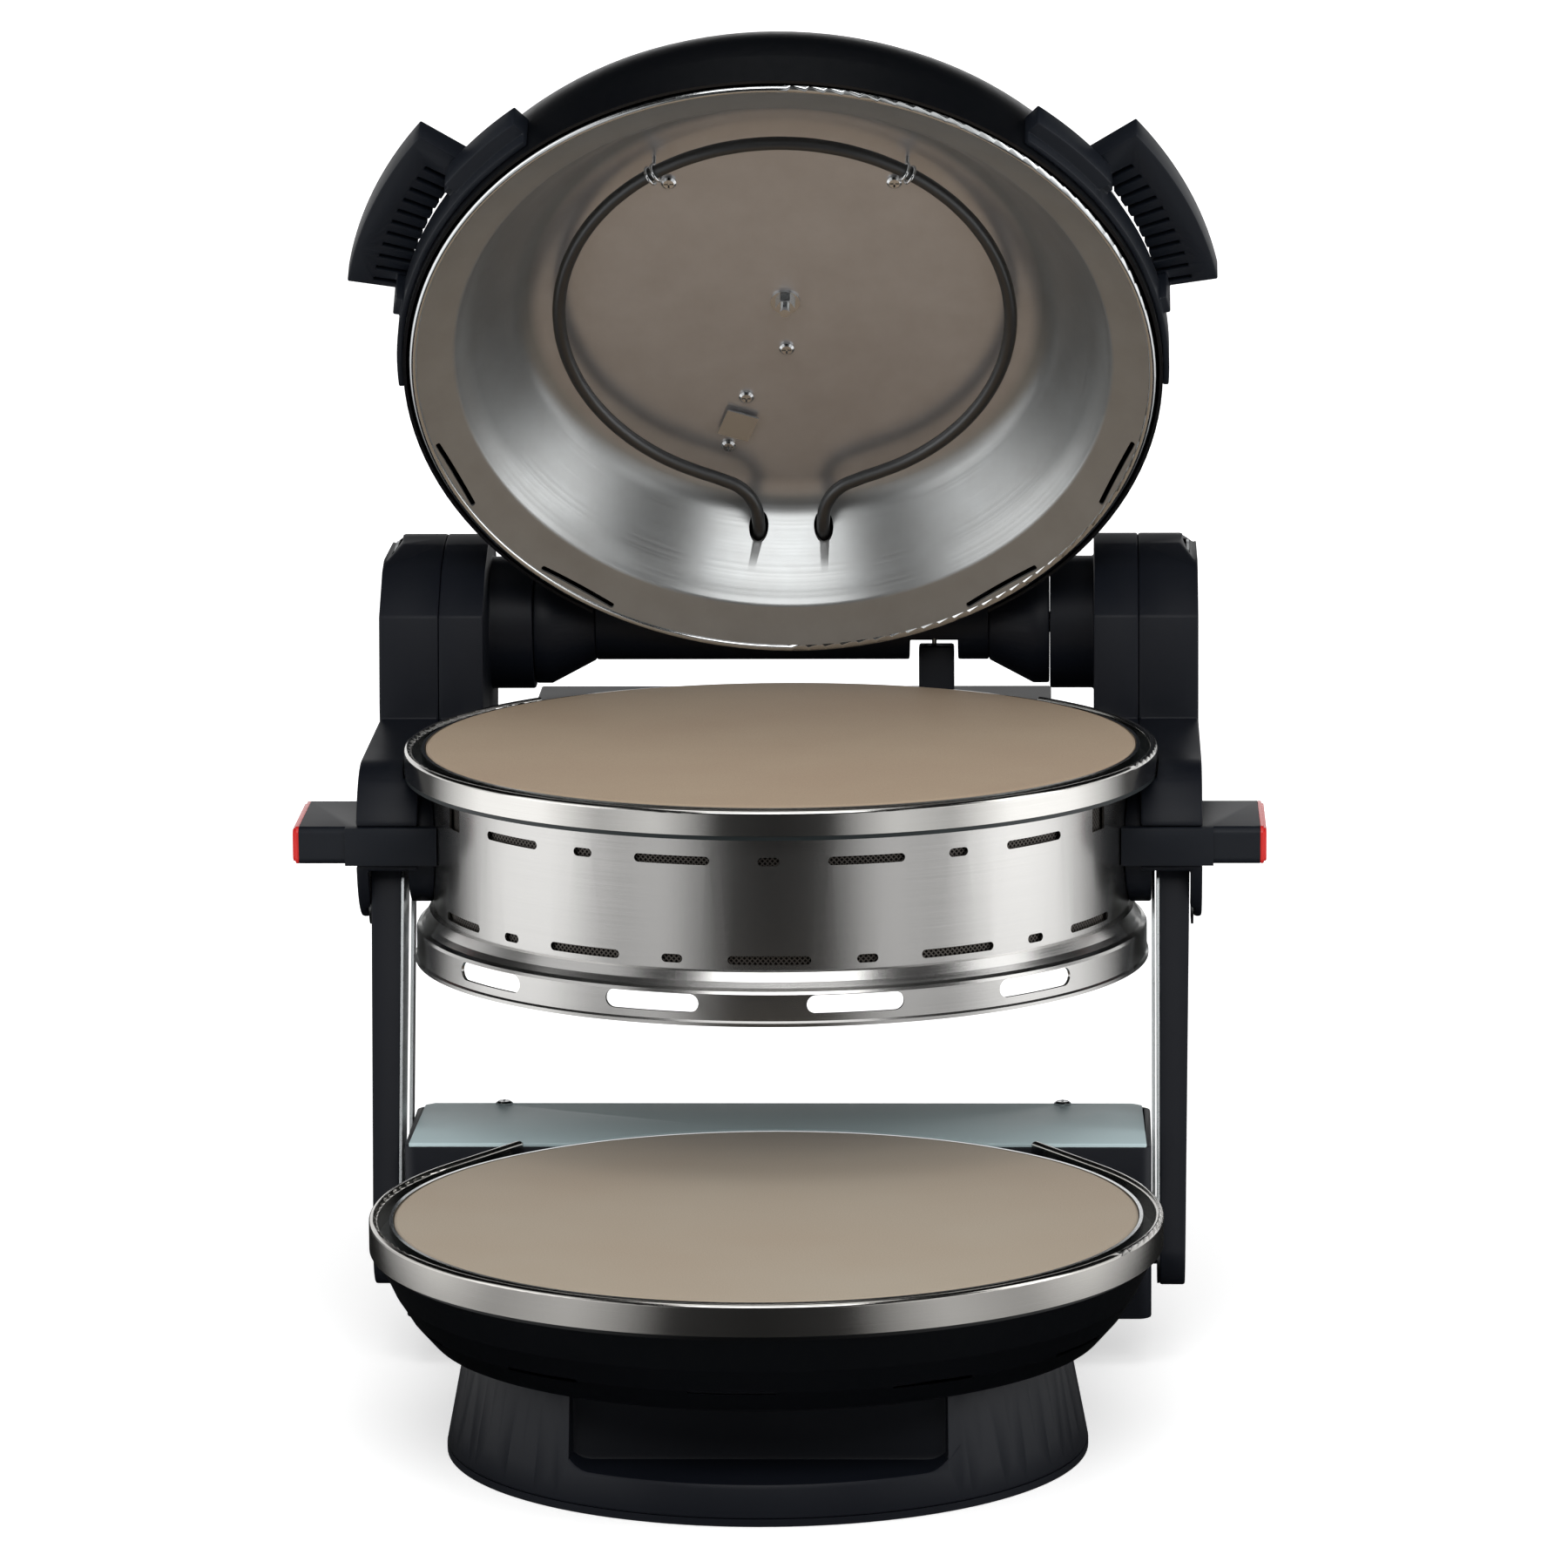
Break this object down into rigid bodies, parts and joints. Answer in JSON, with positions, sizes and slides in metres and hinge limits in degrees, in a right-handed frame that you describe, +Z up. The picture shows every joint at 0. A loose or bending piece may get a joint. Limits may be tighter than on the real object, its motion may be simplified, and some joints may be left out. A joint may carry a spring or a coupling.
{
  "type": "electric pizza maker",
  "caption": "Two-tier countertop pizza oven with round stones; a lifting middle ring on parallel arms and a domed lid hinged on it, shown fully open.",
  "frame": {"origin": "on the base axis at the floor", "axes": "+X to the right seen from the front, +Y to the back, +Z up"},
  "size_m": [0.45, 0.619, 0.6077],
  "materials": {
    "black_plastic": "fine matte, slightly blue black",
    "black_enamel": "satin black enamel",
    "chrome_hoop": "polished",
    "steel": "brushed",
    "spun_aluminium": "spun, satin",
    "heater_tube": "dark oxidised",
    "stone": "unglazed fired stone",
    "painted_plate": "satin grey-green paint",
    "red_plastic": "glossy",
    "rubber": "matte"
  },
  "bodies": {
    "base": {"plinth": "black_plastic", "base_cover": "black_plastic", "base_bowl": "black_enamel", "base_rim": "chrome_hoop", "base_trim": "steel", "base_channel": "black_enamel", "lower_stone": "stone", "base_heater": "heater_tube", "base_reflector": "spun_aluminium", "rear_box": "black_plastic", "rear_plate": "painted_plate", "plate_screws": "steel", "rear_feet": "black_plastic", "foot_pads": "rubber", "cord_gland": "black_plastic", "lower_pins": "steel"},
    "left_lift_arm": {"left_arm": "black_plastic", "left_arm_plate": "steel"},
    "right_lift_arm": {"right_arm": "black_plastic", "right_arm_plate": "steel"},
    "left_lift_link": {"left_link": "steel"},
    "right_lift_link": {"right_link": "steel"},
    "ring": {"mid_rim": "chrome_hoop", "mid_wall": "steel", "mid_mesh": "black_enamel", "mid_skirt": "steel", "mid_channel": "black_enamel", "mid_trim": "steel", "upper_stone": "stone", "mid_pan": "spun_aluminium", "mid_heater_upper": "heater_tube", "mid_heater_lower": "heater_tube", "rear_deck": "black_plastic", "left_tower_outer": "black_plastic", "right_tower_outer": "black_plastic", "left_tower_inner": "black_plastic", "right_tower_inner": "black_plastic", "left_tower_plate": "steel", "right_tower_plate": "steel", "upper_pins": "steel", "left_handle_bar": "black_plastic", "right_handle_bar": "black_plastic", "left_cap": "red_plastic", "right_cap": "red_plastic", "torsion_spring": "steel", "hinge_shaft": "steel"},
    "lid": {"lid_shell": "black_enamel", "lid_reflector": "spun_aluminium", "lid_rim": "chrome_hoop", "lid_heater": "heater_tube", "heater_clips": "steel", "lid_screws": "steel", "centre_bolt": "steel", "thermostat_plate": "steel", "left_lid_handle": "black_plastic", "right_lid_handle": "black_plastic", "left_knuckle": "black_plastic", "right_knuckle": "black_plastic", "cross_tube": "black_plastic"}
  },
  "joints": [
    {"name": "lift", "type": "hinge", "parent": "base", "child": "left_lift_arm", "pos_m": [0, 0.16236, 0.048], "axis": [1, 0, 0], "range_deg": [0, 73.7]},
    {"name": "lift_right", "type": "hinge", "parent": "base", "child": "right_lift_arm", "pos_m": [0, 0.16236, 0.048], "axis": [1, 0, 0], "range_deg": [0, 73.7]},
    {"name": "link_left", "type": "hinge", "parent": "base", "child": "left_lift_link", "pos_m": [0, 0.19236, 0.048], "axis": [1, 0, 0], "range_deg": [0, 73.7]},
    {"name": "link_right", "type": "hinge", "parent": "base", "child": "right_lift_link", "pos_m": [0, 0.19236, 0.048], "axis": [1, 0, 0], "range_deg": [0, 73.7]},
    {"name": "ring_level", "type": "hinge", "parent": "left_lift_arm", "child": "ring", "pos_m": [0, 0.22, 0.234], "axis": [1, 0, 0], "range_deg": [-73.7, 0]},
    {"name": "lid_hinge", "type": "hinge", "parent": "ring", "child": "lid", "pos_m": [0, 0.4, 0.305], "axis": [1, 0, 0], "range_deg": [0, 56.5]}
  ],
  "couplings": [
    {"joint": "lift_right", "follows": "lift", "ratio": 1},
    {"joint": "link_left", "follows": "lift", "ratio": 1},
    {"joint": "link_right", "follows": "lift", "ratio": 1},
    {"joint": "ring_level", "follows": "lift", "ratio": -1}
  ]
}
